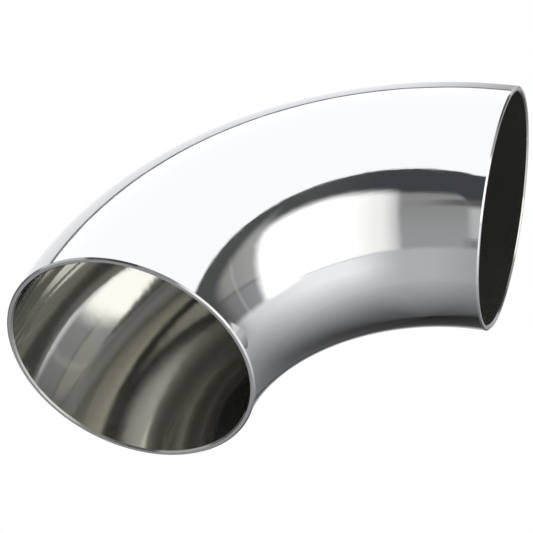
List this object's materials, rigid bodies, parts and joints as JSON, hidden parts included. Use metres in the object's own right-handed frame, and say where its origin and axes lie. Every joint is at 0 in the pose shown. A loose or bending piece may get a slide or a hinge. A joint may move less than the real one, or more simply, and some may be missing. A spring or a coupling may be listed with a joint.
{
  "type": "pipe elbow",
  "caption": "Thin-wall polished steel pipe elbow turning 90 degrees, two pressed half shells joined by seam welds, with plain square weld ends.",
  "frame": {"origin": "centre of the inlet opening, on its weld face", "axes": "-Y points out of the inlet, +X points out of the outlet, +Z is perpendicular to the plane of the bend"},
  "size_m": [0.086, 0.086, 0.051],
  "materials": {
    "polished_tube": "mirror-polished stainless steel",
    "dressed_weld": "stainless weld metal, ground flush and polished outside"
  },
  "bodies": {
    "root": {"upper_half_shell": "polished_tube", "lower_half_shell": "polished_tube", "outer_seam_weld": "dressed_weld", "inner_seam_weld": "dressed_weld"}
  },
  "joints": []
}
